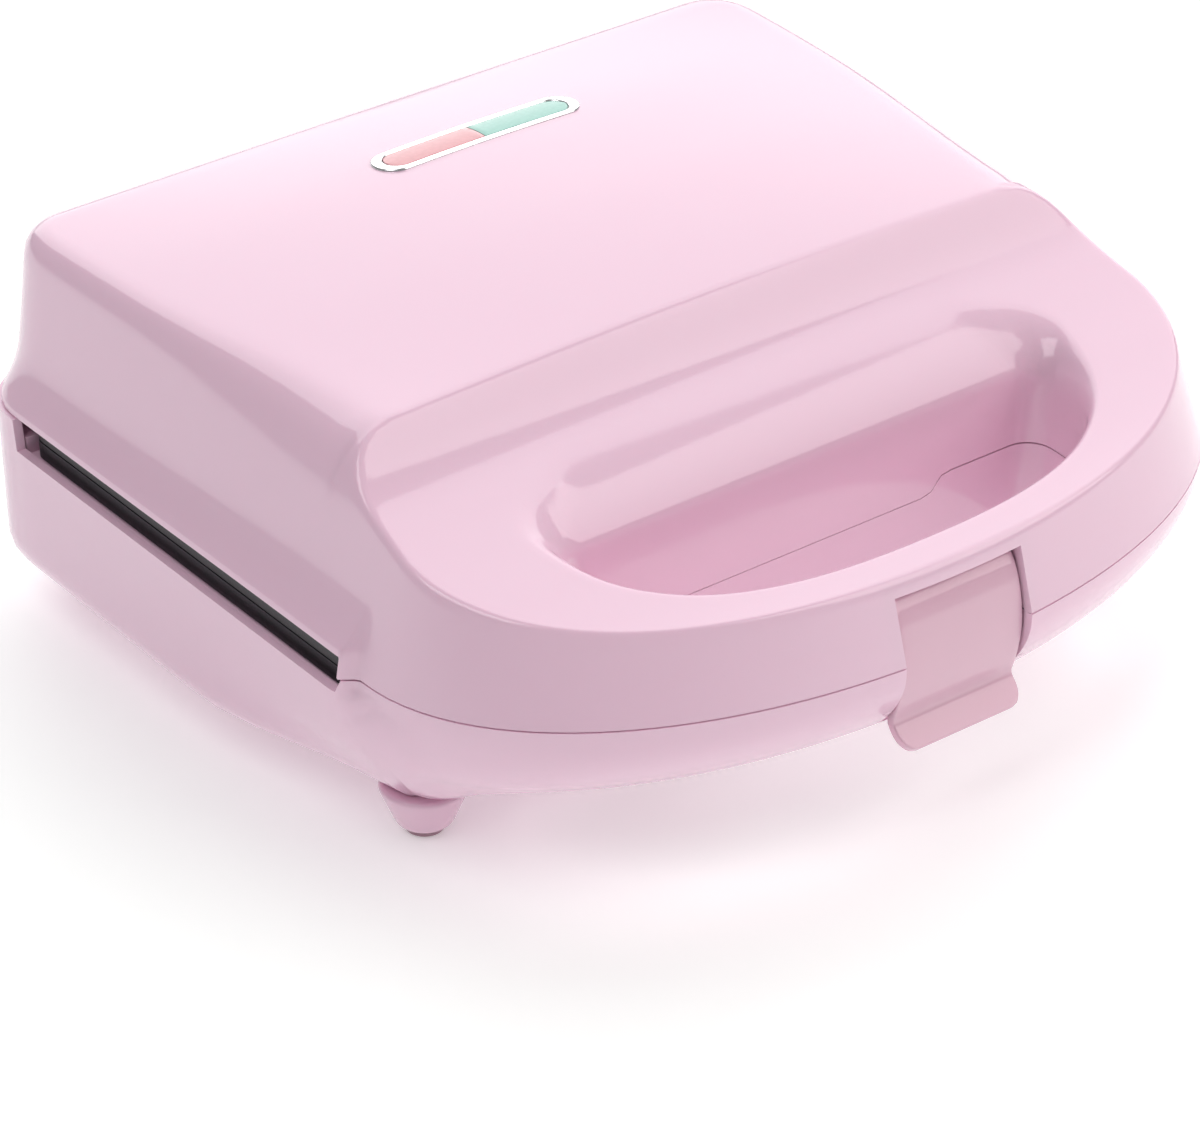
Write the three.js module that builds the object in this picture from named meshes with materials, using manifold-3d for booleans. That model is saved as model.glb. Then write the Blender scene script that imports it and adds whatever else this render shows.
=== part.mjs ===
// A two-slice electric waffle maker, closed: millimetres, +Z up, the front towards -Y.
import * as THREE from 'three';
import { mergeVertices } from 'three/addons/utils/BufferGeometryUtils.js';
import Module from 'manifold-3d';

const wasm = await Module();
wasm.setup();

// Driving dimensions ------------------------------------------------------------------------

const gap = 0.4;              // between pieces that touch
const wall = 2.2;             // every moulded shell
const tiny = 1;               // how far a cut runs past the face it opens

const parting = 45.9;         // height at which the two halves meet
const sideWidth = 226.4;      // across the flared sides
const flare = 4.3;            // how far the flared sides stand out of the front's half-width
const flareStart = -50;       // where the flare begins, towards the front
const flareEnd = -45.6;       // and where it is complete
const frontY = -115;          // foremost point of the handle
const arcStartY = -48.9;      // where the straight sides turn into the rounded front
const arcPower = 2.08;        // 2 is an ellipse, more is squarer
const rearY = 99;             // rear wall
const rearCorner = 20;        // radius of the rear corners in plan

const bottomZ = 9;            // underside of the base
const sillRadius = 8.5;       // rounding along the base's lower edges
const lidSeamRear = 50.9;     // lower edge of the lid beside and behind the plates

const draft = 0.32;           // how far the lid's walls lean in for each unit of height
const rearDraft = 0.2;        // the same at the rear ends of its sides
const roofFrontZ = 89;        // crease between the roof and the hollow in front of it
const roofFrontY = -25;
const roofRearY = 84;
const roofSideRadius = 16;    // rounding along the roof's side edges
const roofSideDrop = 3;       // how far the roof has sunk where that rounding starts
// The hollow that runs along X from the handle's front up to the roof's front crease.
const hollow = [
  [frontY - 5, 64.2], [-109, 64.3], [-97, 64.9], [-85, 66.4], [-71, 69.1], [-61, 71.3],
  [-51.2, 73.9], [-45.9, 75.5], [-39.4, 77.8], [-34.2, 80.7], [-31, 83.6], [-28.5, 86.6],
];

const holeHalf = 66;          // half-length of the hand hole
const holeFrontY = -99;
const holeMidY = -66;
const holeRearY = -59.3;
const holeCorner = 6.5;
const holePower = 2.4;
const rollBottomZ = 58;       // the hole's rear lip rolls over between these two heights
const rollTopZ = 77;
const rollRearY = -40.5;
const rollEndOut = 8;         // how far the roll spreads at the two ends of the hole

const plateHalf = 109.3;      // grid plates
const plateFrontY = -46;
const plateRearY = 76;
const plateRim = 4;           // height of the rim's edge
const plateSheet = 2.5;       // thickness of the plate under a pocket
const pocketDepth = 9;
const pocketMargin = 10.5;       // from the plate's edge to a pocket
const pocketDivide = 10;      // between the two pockets
const postsAcross = 5;
const postsDeep = 5;
const postHeight = 6.5;
const postFoot = 11;
const postTop = 8;

const ventClear = 0.9;        // from a plate's end to the end of the opening beside it
const ventSill = 43;          // top of the base beside the plates
const latchHalf = 16.5;
const latchSide = 0.7;        // clearance at each side of the latch
const latchPivot = [-105, 57];
const latchPin = 1.1;
const pocketBackY = -102.4;   // back of the recess behind the latch
const hingeY = 108.2;
const hingeZ = 47;
const hingeX = 58;            // middle of each hinge, from the centre line
const knuckleRadius = 6.3;
const knuckleWidth = 12;
const lugWidth = 5.6;
const hingePin = 2;
const footX = 90.8;
const footFrontY = -45.8;
const footRearY = 80;
const footTip = 6;
const footRoot = 10;
const padRadius = 4.4;
const padHeight = 2.2;
const padProud = 0.8;
const deckPosts = [[86, -62], [60, 87]];
const postRadius = 4.6;
const screwShank = 1.5;
const screwHead = 3.1;
const pillX = 56;             // indicator, over its bezel
const pillY = 11.2;
const pillAtY = 57.5;
const pillTopZ = 95.7;
const pillBand = 2.5;         // width of the bezel's band
const glandX = 36;
const glandZ = 27;
const glandBore = 3.7;

// Materials ---------------------------------------------------------------------------------

function finish(color, roughness, metalness = 0) {
  return new THREE.MeshStandardMaterial({ color, roughness, metalness });
}

const pink = finish(0xf3cfe0, 0.22);
const latchPink = finish(0xe6bccd, 0.25);
const castGrey = finish(0x3a3b3d, 0.45, 0.3);
const steel = finish(0xb4b6b8, 0.35, 1);
const aluminium = finish(0xc9cbcd, 0.4, 1);
const heaterSteel = finish(0x6d6a66, 0.5, 1);
const rubber = finish(0x2a2a2b, 0.9);
const ceramicWhite = finish(0xe9e6df, 0.5);
const black = finish(0x1c1c1e, 0.5);
const chrome = finish(0xe8e8ec, 0.15, 1);
const redLensFinish = finish(0xe8727c, 0.15);
const greenLensFinish = finish(0x7fcbb8, 0.15);
const lampGlass = finish(0xf0ece4, 0.1);
const sleeveFibre = finish(0xd8d2c4, 0.9);

// Solids ------------------------------------------------------------------------------------

const group = new THREE.Group();

// Turns a closed three.js geometry into a solid that can be joined and cut.
function solid(geometry) {
  const bare = geometry.clone();
  bare.deleteAttribute('normal');
  bare.deleteAttribute('uv');
  const merged = mergeVertices(bare, 1e-4);
  return new wasm.Manifold(new wasm.Mesh({
    numProp: 3,
    vertProperties: new Float32Array(merged.attributes.position.array),
    triVerts: new Uint32Array(merged.index.array),
  }));
}

function add(name, body, material) {
  const data = body.getMesh();
  const geometry = new THREE.BufferGeometry();
  geometry.setAttribute('position', new THREE.BufferAttribute(data.vertProperties, 3));
  geometry.setIndex(new THREE.BufferAttribute(data.triVerts, 1));
  geometry.computeVertexNormals();
  const mesh = new THREE.Mesh(geometry, material);
  mesh.name = name;
  group.add(mesh);
  return mesh;
}

function joined(first, ...others) {
  return others.reduce((whole, next) => whole.add(next), first);
}

function cut(first, ...others) {
  return others.reduce((whole, next) => whole.subtract(next), first);
}

function box([x0, x1], [y0, y1], [z0, z1]) {
  const geometry = new THREE.BoxGeometry(x1 - x0, y1 - y0, z1 - z0);
  geometry.translate((x0 + x1) / 2, (y0 + y1) / 2, (z0 + z1) / 2);
  return solid(geometry);
}

// An upright extrusion of a plan outline, with its points moved by reshape(x, y, z).
function extruded(shape, z0, z1, steps = 1, reshape = null) {
  const options = { depth: z1 - z0, steps, bevelEnabled: false, curveSegments: 6 };
  const geometry = new THREE.ExtrudeGeometry(shape, options);
  geometry.translate(0, 0, z0);
  if (reshape) {
    const place = geometry.attributes.position;
    for (let i = 0; i < place.count; i += 1) {
      const moved = reshape(place.getX(i), place.getY(i), place.getZ(i));
      place.setXYZ(i, ...moved);
    }
  }
  return solid(geometry);
}

// A [y, z] outline carried along X.
function extrudedAlongX(points, x0, x1) {
  const shape = new THREE.Shape(points.map(([y, z]) => new THREE.Vector2(y, z)));
  const geometry = new THREE.ExtrudeGeometry(shape, { depth: x1 - x0, bevelEnabled: false });
  geometry.applyMatrix4(new THREE.Matrix4().set(0, 0, 1, x0, 1, 0, 0, 0, 0, 1, 0, 0, 0, 0, 0, 1));
  return solid(geometry);
}

// An [x, z] outline carried along Y.
function extrudedAlongY(points, y0, y1) {
  const shape = new THREE.Shape(points.map(([x, z]) => new THREE.Vector2(x, z)));
  const geometry = new THREE.ExtrudeGeometry(shape, { depth: y1 - y0, bevelEnabled: false });
  geometry.rotateX(Math.PI / 2);
  geometry.translate(0, y1, 0);
  return solid(geometry);
}

function upright(radius, [x, y], z0, z1, sides = 16, topRadius = radius) {
  const geometry = new THREE.CylinderGeometry(topRadius, radius, z1 - z0, sides);
  geometry.rotateX(Math.PI / 2);
  geometry.translate(x, y, (z0 + z1) / 2);
  return solid(geometry);
}

function alongX(radius, x0, x1, [y, z], sides = 16) {
  const geometry = new THREE.CylinderGeometry(radius, radius, x1 - x0, sides);
  geometry.rotateZ(Math.PI / 2);
  geometry.translate((x0 + x1) / 2, y, z);
  return solid(geometry);
}

function alongY(radius, y0, y1, [x, z], sides = 16) {
  const geometry = new THREE.CylinderGeometry(radius, radius, y1 - y0, sides);
  geometry.translate(x, (y0 + y1) / 2, z);
  return solid(geometry);
}

function roundedBox([x0, x1], [y0, y1], z0, z1, radius) {
  const shape = new THREE.Shape();
  shape.moveTo(x0 + radius, y0);
  shape.absarc(x1 - radius, y0 + radius, radius, -Math.PI / 2, 0, false);
  shape.absarc(x1 - radius, y1 - radius, radius, 0, Math.PI / 2, false);
  shape.absarc(x0 + radius, y1 - radius, radius, Math.PI / 2, Math.PI, false);
  shape.absarc(x0 + radius, y0 + radius, radius, Math.PI, 1.5 * Math.PI, false);
  const options = { depth: z1 - z0, bevelEnabled: false, curveSegments: 4 };
  const geometry = new THREE.ExtrudeGeometry(shape, options);
  geometry.translate(0, 0, z0);
  return solid(geometry);
}

// A round bar that follows a list of [x, y, z] points.
function bar(points, radius, steps, sides = 8) {
  const section = new THREE.Shape();
  for (let i = 0; i < sides; i += 1) {
    const angle = 2 * Math.PI * i / sides;
    const place = [radius * Math.cos(angle), radius * Math.sin(angle)];
    if (i === 0) section.moveTo(...place);
    else section.lineTo(...place);
  }
  const path = new THREE.CatmullRomCurve3(points.map((point) => new THREE.Vector3(...point)));
  path.curveType = 'centripetal';
  return solid(new THREE.ExtrudeGeometry(section, { steps, extrudePath: path }));
}

function smooth(low, high, value) {
  const t = Math.min(Math.max((value - low) / (high - low), 0), 1);
  return t * t * (3 - 2 * t);
}

// The two housings' common plan ---------------------------------------------------------------

const frontHalf = sideWidth / 2 - flare;

// One half of a rounded front: a superellipse from its side to its foremost point.
function frontArc(half, startY, tipY, power, count) {
  return Array.from({ length: count }, (_, i) => {
    const angle = (i + 1) / (count + 1) * Math.PI / 2;
    const x = half * Math.cos(angle) ** (2 / power);
    const y = startY + (tipY - startY) * Math.sin(angle) ** (2 / power);
    return [x, y];
  });
}

// The plan outline, inset by a distance: flat rear with round corners, straight sides, D front.
function planShape(inset) {
  const half = frontHalf - inset;
  const rear = rearY - inset;
  const radius = rearCorner - inset;
  const corner = Array.from({ length: 6 }, (_, i) => {
    const angle = i / 5 * Math.PI / 2;
    return [half - radius + radius * Math.sin(angle), rear - radius + radius * Math.cos(angle)];
  });
  const run = rear - radius - flareEnd;
  const along = Array.from({ length: 8 }, (_, i) => [half, rear - radius - (i + 1) / 8 * run]);
  const straights = [...along, [half, flareStart]];
  const arc = frontArc(half, arcStartY - 2, frontY + inset, arcPower, 11);
  const right = [...corner, ...straights, ...arc];
  const left = right.map(([x, y]) => [-x, y]).reverse();
  const outline = [...right, [0, frontY + inset], ...left];
  return new THREE.Shape(outline.map(([x, y]) => new THREE.Vector2(x, y)));
}

// How far the flanks stand out at a place along the side.
function flareAt(y) {
  return flare * smooth(flareStart, flareEnd, y);
}

// How far the lid's wall has leaned in at a height: straight, then rounded into the roof.
function leanAt(y, z) {
  const slope = draft + (rearDraft - draft) * smooth(flareEnd, roofRearY, y);
  const lean = slope * (z - parting);
  const lifted = smooth(roofFrontY, 30, y) - smooth(50, roofRearY, y);
  const roofZ = roofFrontZ + roofSideDrop * lifted;
  const up = Math.min(Math.max((z - roofZ + roofSideRadius) / roofSideRadius, 0), 1);
  return lean + roofSideRadius * 0.8 * (1 - Math.sqrt(1 - up * up));
}

// The hole through the handle, grown by a distance, which is also how far its roll sinks.
function handHole(grow, z0, z1) {
  const half = holeHalf + grow;
  const rear = holeRearY + grow;
  const arc = frontArc(half, holeMidY, holeFrontY - grow, holePower, 9);
  const radius = holeCorner + grow;
  const corner = Array.from({ length: 5 }, (_, i) => {
    const angle = i / 4 * Math.PI / 2;
    return [half - radius + radius * Math.sin(angle), rear - radius + radius * Math.cos(angle)];
  });
  const right = [...corner, ...arc];
  const left = right.map(([x, y]) => [-x, y]).reverse();
  const outline = [...right, [0, holeFrontY - grow], ...left];
  const shape = new THREE.Shape(outline.map(([x, y]) => new THREE.Vector2(x, y)));
  const straight = extruded(shape, z0, z1);
  if (z1 < rollTopZ) return straight;
  const rollDeep = rollTopZ - rollBottomZ;
  const roll = extruded(shape, rollBottomZ - grow, rollTopZ - grow, 7, (x, y, z) => {
    const up = Math.min((z - rollBottomZ + grow) / rollDeep, 1);
    const spread = 1 - Math.sqrt(1 - up * up);
    const rearward = smooth(-82, rear, y);
    const ends = smooth(0.75, 1, Math.abs(x) / half);
    const outward = Math.sign(x) * rollEndOut * spread * ends * smooth(-92, -58, y);
    return [x + outward, y + (rollRearY - holeRearY) * spread * rearward, z];
  });
  const top = extruded(shape, rollTopZ - grow, z1, 1, (x, y, z) => {
    const ends = smooth(0.75, 1, Math.abs(x) / half);
    const outward = Math.sign(x) * rollEndOut * ends * smooth(-92, -58, y);
    return [x + outward, y + (rollRearY - holeRearY) * smooth(-82, rear, y), z];
  });
  return joined(straight, roll, top);
}

// Lid shell -----------------------------------------------------------------------------------

const formLowZ = 40;
const formHighZ = 100;

// The lid's outer form, inset by a distance: a drafted plan, cut by the roof's side view.
function lidForm(inset, fromZ) {
  const plan = extruded(planShape(inset), formLowZ, formHighZ, 14, (x, y, z) => {
    const lean = leanAt(y, Math.max(z, parting));
    const lip = flareAt(y) * (1 - smooth(lidSeamRear - 2, lidSeamRear + 10, z));
    const across = Math.sign(x) * lip * smooth(60, frontHalf - 12, Math.abs(x));
    const inward = y < arcStartY ? lean * (y - arcStartY) / (frontY - arcStartY) : 0;
    return [x * (1 - lean / frontHalf) + across, y + inward, z];
  });
  const side = [
    [frontY - 5, fromZ],
    [rearY - inset, fromZ],
    [rearY - inset - 0.6, lidSeamRear + 6],
    [97.4 - inset, 76],
    [96 - inset, 83 - inset / 2],
    [92 - inset, 88.2 - inset],
    [roofRearY, 91 - inset],
    [72, 92.7 - inset],
    [57, 94.7 - inset],
    [40, 95.5 - inset],
    [20, 95.3 - inset],
    [0, 93.5 - inset],
    [-14, 91.4 - inset],
    [roofFrontY + inset, roofFrontZ - inset],
    ...hollow.map(([y, z]) => [y + inset * smooth(-50, roofFrontY, y), z - inset]).reverse(),
  ];
  return plan.intersect(extrudedAlongX(side, -sideWidth, sideWidth));
}

const latchOpening = box(
  [-latchHalf - latchSide, latchHalf + latchSide],
  [frontY - 10, pocketBackY],
  [20, latchPivot[1] + 3.6],
);
const latchSurround = box(
  [-latchHalf - latchSide - wall, latchHalf + latchSide + wall],
  [frontY - 10, holeFrontY + tiny],
  [20, latchPivot[1] + 3.6 + wall],
);
const seamGap = gap / 2;
const jogHalf = 38;
const jogDrop = 4.4;

function jog(side, clearance) {
  const low = parting - jogDrop - clearance;
  const outline = [
    [-jogHalf - clearance, parting + tiny],
    [-jogHalf + 3 - clearance, low],
    [jogHalf - 3 + clearance, low],
    [jogHalf + clearance, parting + tiny],
  ];
  return extrudedAlongY(outline, holeRearY - side, holeRearY + wall + side);
}

function bezelHole(grow, z0, z1) {
  const shape = new THREE.Shape();
  const radius = pillY / 2 + grow;
  const reach = pillX / 2 - pillY / 2;
  shape.absarc(reach, pillAtY, radius, -Math.PI / 2, Math.PI / 2, false);
  shape.absarc(-reach, pillAtY, radius, Math.PI / 2, 1.5 * Math.PI, false);
  return extruded(shape, z0, z1);
}

function mirroredPosts(make) {
  return deckPosts.flatMap(([x, y]) => [make([x, y]), make([-x, y])]);
}

const lidDeckTop = parting + 3;

function makeLidShell() {
  const outer = cut(lidForm(0, parting + seamGap), handHole(0, parting - tiny, 110));
  const cavity = cut(lidForm(wall, parting - tiny), handHole(wall, parting - 2 * tiny, 110));
  const posts = mirroredPosts((place) => upright(postRadius, place, lidDeckTop + gap, 110, 10));
  const bores = mirroredPosts((place) => upright(screwShank + 0.3, place, parting, lidDeckTop + 9, 8));
  const skirt = box([-sideWidth, sideWidth], [plateFrontY - ventClear, 200], [0, lidSeamRear]);
  const shell = joined(
    cut(outer, cavity),
    latchSurround.intersect(outer),
    cut(joined(...posts).intersect(outer), ...bores),
    jog(0, 0).subtract(box([-60, 60], [-70, -50], [parting + tiny / 2, 60])),
  );
  const knuckles = [-hingeX, hingeX].map((x) => {
    const span = [x - knuckleWidth / 2, x + knuckleWidth / 2];
    return joined(
      alongX(knuckleRadius, span[0], span[1], [hingeY, hingeZ], 14),
      box(span, [rearY - wall - 0.4, hingeY], [lidSeamRear, hingeZ + knuckleRadius]),
      box(span, [rearY + 1.2, hingeY], [hingeZ, hingeZ + knuckleRadius]),
    );
  });
  const pinHole = alongX(hingePin + 0.3, -100, 100, [hingeY, hingeZ], 12);
  const latchPinReach = latchHalf + 2.4;
  const latchPinHole = alongX(latchPin + 0.35, -latchPinReach, latchPinReach, latchPivot, 10);
  return cut(
    joined(cut(shell, skirt), ...knuckles),
    latchOpening,
    latchPinHole,
    pinHole,
    bezelHole(0.3, 84, 100),
  );
}

add('lid_shell', makeLidShell(), pink);

// Base shell ----------------------------------------------------------------------------------

// The bow under the handle: how far its section has come in at each height.
const bow = [
  [46, 0], [38, 1.5], [29.6, 7], [23, 15], [18.9, 20.8], [15.2, 27], [12.3, 33.5], [10.4, 40], [9, 50],
];
const bowAtCorner = 0.42;     // share of the bow in the section where the front's curve starts
const bowEndY = 10;           // where the sides have none of it left

function bowAt(z) {
  const i = Math.max(bow.findIndex(([height]) => height <= z), 1);
  const [[z0, in0], [z1, in1]] = [bow[i - 1], bow[i]];
  return in0 + (in1 - in0) * Math.min(Math.max((z0 - z) / (z0 - z1), 0), 1);
}

function sillAt(z) {
  const sunk = Math.min(Math.max(bottomZ + sillRadius - z, 0), sillRadius);
  return sillRadius - Math.sqrt(sillRadius ** 2 - sunk ** 2);
}

// Unit direction that points into the plan from a point of its outline.
function inwardFrom(x, y, inset) {
  const side = -Math.sign(x);
  const half = frontHalf - inset;
  if (y < arcStartY) {
    const across = (Math.abs(x) / half) ** (arcPower - 1) / half;
    const ahead = ((arcStartY - y) / (arcStartY - frontY)) ** (arcPower - 1) / (arcStartY - frontY);
    const size = Math.hypot(across, ahead);
    return [side * across / size, ahead / size];
  }
  const [cornerX, cornerY] = [frontHalf - rearCorner, rearY - rearCorner];
  if (y > cornerY + tiny / 2 && Math.abs(x) > cornerX) {
    const size = Math.hypot(Math.abs(x) - cornerX, y - cornerY);
    return [side * (Math.abs(x) - cornerX) / size, (cornerY - y) / size];
  }
  return y > cornerY + tiny ? [0, -1] : [side, 0];
}

function baseForm(inset, toZ) {
  const low = bottomZ + inset;
  return extruded(planShape(inset), low, toZ, 12, (x, y, z) => {
    const height = low + (toZ - low) * (Math.max(z - low, 0) / (toZ - low)) ** 1.7;
    const [inX, inY] = inwardFrom(x, y, inset);
    const share = y < arcStartY
      ? bowAtCorner + (1 - bowAtCorner) * inY ** 1.2
      : bowAtCorner * smooth(bowEndY, arcStartY, y);
    const depth = sillAt(height - inset) * (1 - share) + bowAt(height - inset) * share;
    const out = Math.sign(x) * flareAt(y) * smooth(60, frontHalf - 12, Math.abs(x));
    return [x + out + inX * depth, y + inY * depth, height];
  });
}

function footProfile(x, y) {
  return upright(footTip, [x, y], padProud, bottomZ + wall, 16, footRoot);
}

const footPlaces = [
  ['front_left', -footX, footFrontY],
  ['front_right', footX, footFrontY],
  ['rear_left', -footX, footRearY],
  ['rear_right', footX, footRearY],
];

const screwSeatZ = 20;
const basePostTop = 24;

function makeBaseShell() {
  const rearTop = lidSeamRear - gap;
  const outer = cut(baseForm(0, rearTop), handHole(0, 0, parting + 10));
  const cavity = cut(baseForm(wall, rearTop + tiny), handHole(wall, -tiny, parting + 11));
  const posts = mirroredPosts((place) => upright(postRadius, place, bottomZ, basePostTop, 10));
  const sinks = mirroredPosts((place) => upright(screwHead + 0.4, place, 0, screwSeatZ, 10));
  const bores = mirroredPosts((place) => upright(screwShank + 0.4, place, 0, basePostTop + 1, 8));
  const catchLedge = box([-12, 12], [pocketBackY - 2.5, pocketBackY + tiny], [33.4, 36.4]);
  const feet = footPlaces.map(([, x, y]) => footProfile(x, y));
  const recesses = footPlaces.map(([, x, y]) => upright(padRadius + 0.3, [x, y], 0, padHeight + 0.3, 12));
  const frontTrim = box([-sideWidth, sideWidth], [frontY - 10, plateFrontY], [parting - seamGap, 100]);
  const sideTrims = [-1, 1].map((side) => {
    const span = [side * 100, side * 130].sort((a, b) => a - b);
    return box(span, [plateFrontY - ventClear, plateRearY + ventClear], [ventSill, 100]);
  });
  const lugs = [-1, 1].flatMap((side) => [-1, 1].map((end) => {
    const middle = side * hingeX + end * (knuckleWidth / 2 + gap + lugWidth / 2);
    const span = [middle - lugWidth / 2, middle + lugWidth / 2];
    const gusset = [[rearY - wall / 2, 26], [hingeY + 2, hingeZ - knuckleRadius + 0.4],
      [hingeY + 2, hingeZ], [rearY - wall / 2, hingeZ]];
    return joined(
      alongX(knuckleRadius, span[0], span[1], [hingeY, hingeZ], 14),
      extrudedAlongX(gusset, ...span),
    );
  }));
  const body = joined(
    cut(outer, cavity, latchOpening),
    cut(latchSurround.intersect(outer), latchOpening),
    catchLedge.intersect(outer),
    ...feet,
    ...posts,
    ...lugs,
  );
  return cut(
    body,
    ...recesses,
    ...sinks,
    ...bores,
    frontTrim,
    ...sideTrims,
    jog(0.6, gap),
    alongX(hingePin + 0.3, -100, 100, [hingeY, hingeZ], 12),
    alongY(glandBore + 2.6, rearY - 8, rearY + 8, [glandX, glandZ], 14),
  );
}

add('base_shell', makeBaseShell(), pink);

for (const [name, x, y] of footPlaces) {
  add(`foot_pad_${name}`, upright(padRadius, [x, y], 0, padHeight, 12), rubber);
}

// Inner decks: the faces that surround the plates -----------------------------------------------

const panHalf = plateHalf - 8;
const panFrontY = plateFrontY + 4.5;
const panRearY = plateRearY - 4.5;
const deckInset = wall + gap;

function deckCuts() {
  const hole = handHole(wall + gap, 0, rollTopZ - 2);
  const pan = box([-panHalf - 0.5, panHalf + 0.5], [panFrontY - 0.5, panRearY + 0.5], [0, 100]);
  const recess = box(
    [-latchHalf - latchSide - wall - gap, latchHalf + latchSide + wall + gap],
    [frontY - 10, holeFrontY + 4],
    [0, 100],
  );
  return [hole, pan, recess];
}

function makeBaseDeck() {
  const top = parting - 0.5;
  const railTop = parting - seamGap - plateRim - gap;
  const body = baseForm(deckInset, 60).intersect(box([-130, 130], [-130, 130], [railTop - 3.3, top]));
  const seat = box([-130, 130], [plateFrontY - gap, plateRearY + gap], [railTop, 60]);
  const hollow = joined(
    box([-130, 130], [-130, plateFrontY - gap - 2.2], [0, top - 2.2]),
    box([-130, 130], [plateRearY + gap + 2.2, 130], [0, top - 2.2]),
  );
  const posts = mirroredPosts((place) => upright(postRadius, place, basePostTop + gap, top - 1, 10));
  const bores = mirroredPosts((place) => upright(screwShank + 0.3, place, 0, basePostTop + 13, 8));
  const jogRoom = box([-jogHalf - 2, jogHalf + 2], [holeRearY, holeRearY + wall + 1.2], [0, 60]);
  return cut(joined(cut(body, seat, hollow, ...deckCuts(), jogRoom), ...posts), ...bores);
}

function makeLidDeck() {
  const low = parting + 0.5;
  const railLow = parting + seamGap + plateRim + gap;
  const flank = plateHalf - 2.7;
  const slab = box([-flank, flank], [-130, rearY - deckInset - 0.8], [low, railLow + 3.3]);
  const body = lidForm(deckInset, formLowZ + tiny).intersect(slab);
  const seat = box([-130, 130], [plateFrontY - gap, plateRearY + gap], [0, railLow]);
  const hollow = joined(
    box([-130, 130], [-130, plateFrontY - gap - 2.2], [low + 2.2, 100]),
    box([-130, 130], [plateRearY + gap + 2.2, 130], [low + 2.2, 100]),
  );
  const sinks = mirroredPosts((place) => upright(screwHead + 0.3, place, 0, low + 1.3, 10));
  const bores = mirroredPosts((place) => upright(screwShank + 0.4, place, 0, 60, 8));
  return cut(body, seat, hollow, ...deckCuts(), ...sinks, ...bores);
}

add('base_deck', makeBaseDeck(), pink);
add('lid_deck', makeLidDeck(), pink);

// Grid plates: one casting, used right way up below and turned over above -----------------------

const plateTop = parting - seamGap;
const panFloor = plateTop - pocketDepth - plateSheet;
const plateMidY = (plateFrontY + plateRearY) / 2;
const bossX = 46;
const bossFoot = panFloor - 6.8;

function makePlate() {
  const rimDeep = [plateFrontY, plateRearY];
  const rim = roundedBox([-plateHalf, plateHalf], rimDeep, plateTop - plateRim, plateTop, 4);
  const pan = roundedBox([-panHalf, panHalf], [panFrontY, panRearY], panFloor, plateTop - 1, 8);
  const pockets = [-1, 1].map((side) => {
    const span = [side * pocketDivide / 2, side * (plateHalf - pocketMargin)].sort((a, b) => a - b);
    const deep = [plateFrontY + pocketMargin, plateRearY - pocketMargin];
    return roundedBox(span, deep, plateTop - pocketDepth, plateTop + tiny, 5);
  });
  const posts = [];
  const pitchX = (plateHalf - pocketMargin - pocketDivide / 2) / postsAcross;
  const pitchY = (plateRearY - plateFrontY - 2 * pocketMargin) / postsDeep;
  const turn = Math.SQRT1_2;
  for (let i = 0; i < postsAcross; i += 1) {
    for (let j = 0; j < postsDeep; j += 1) {
      for (const side of [-1, 1]) {
        const geometry = new THREE.CylinderGeometry(postTop * turn, postFoot * turn, postHeight, 4);
        geometry.rotateX(Math.PI / 2);
        geometry.rotateZ(Math.PI / 4);
        const x = side * (pocketDivide / 2 + (i + 0.5) * pitchX);
        const y = plateFrontY + pocketMargin + (j + 0.5) * pitchY;
        geometry.translate(x, y, plateTop - pocketDepth + postHeight / 2 - 0.05);
        posts.push(solid(geometry));
      }
    }
  }
  const bosses = [-bossX, bossX].map((x) => upright(4.2, [x, plateMidY], bossFoot, panFloor + 0.5, 12));
  const bores = [-bossX, bossX].map((x) => upright(screwShank + 0.3, [x, plateMidY], 0, panFloor - 1, 8));
  return joined(cut(joined(rim, pan, ...bosses), ...pockets, ...bores), ...posts);
}

// Anything made for the lower half, rolled over sideways for the upper one.
function turnedOver(body) {
  const data = body.getMesh();
  const geometry = new THREE.BufferGeometry();
  geometry.setAttribute('position', new THREE.BufferAttribute(data.vertProperties, 3));
  geometry.setIndex(new THREE.BufferAttribute(data.triVerts, 1));
  geometry.translate(0, 0, -parting);
  geometry.rotateY(Math.PI);
  geometry.translate(0, 0, parting);
  return solid(geometry);
}

// One piece below the plates and its twin above them; make(side) gets -1 on the left, 1 right.
function addPair(name, make, material, side = 1) {
  add(`lower_${name}`, make(side), material);
  add(`upper_${name}`, turnedOver(make(-side)), material);
}

addPair('plate', makePlate, castGrey);

// Heating: a bent tubular element under each plate, its straps, reflector and thermostat --------

const heaterRadius = 3.2;
const heaterZ = panFloor - gap - heaterRadius;
const heaterX = 66;
const heaterNearY = -18;
const heaterFarY = 56;

function makeElement() {
  const near = heaterNearY;
  const far = heaterFarY;
  const bend = 12;
  const half = [
    [heaterX, far],
    [heaterX, plateMidY + 14],
    [heaterX, plateMidY - 10],
    [heaterX, near + bend],
    [heaterX - bend * 0.3, near + bend * 0.3],
    [heaterX - bend, near],
    [heaterX / 3, near],
  ];
  const right = half.map(([x, y]) => [x, y, heaterZ]);
  const left = half.map(([x, y]) => [-x, y, heaterZ]).reverse();
  const tube = bar([...right, ...left], heaterRadius, 30);
  const tails = [-heaterX, heaterX].map((x) => alongY(1.3, far - 2, far + 9, [x, heaterZ], 8));
  return joined(tube, ...tails);
}

const strapTop = bossFoot - gap;
const strapThick = 1.2;
const panTop = strapTop - strapThick - gap;

function makeStrap(side) {
  const span = [side * (bossX - 6), side * (heaterX + 6)].sort((a, b) => a - b);
  const hole = upright(screwShank + 0.4, [side * bossX, plateMidY], 0, 60, 8);
  return box(span, [plateMidY - 6, plateMidY + 6], [strapTop - strapThick, strapTop]).subtract(hole);
}

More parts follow.
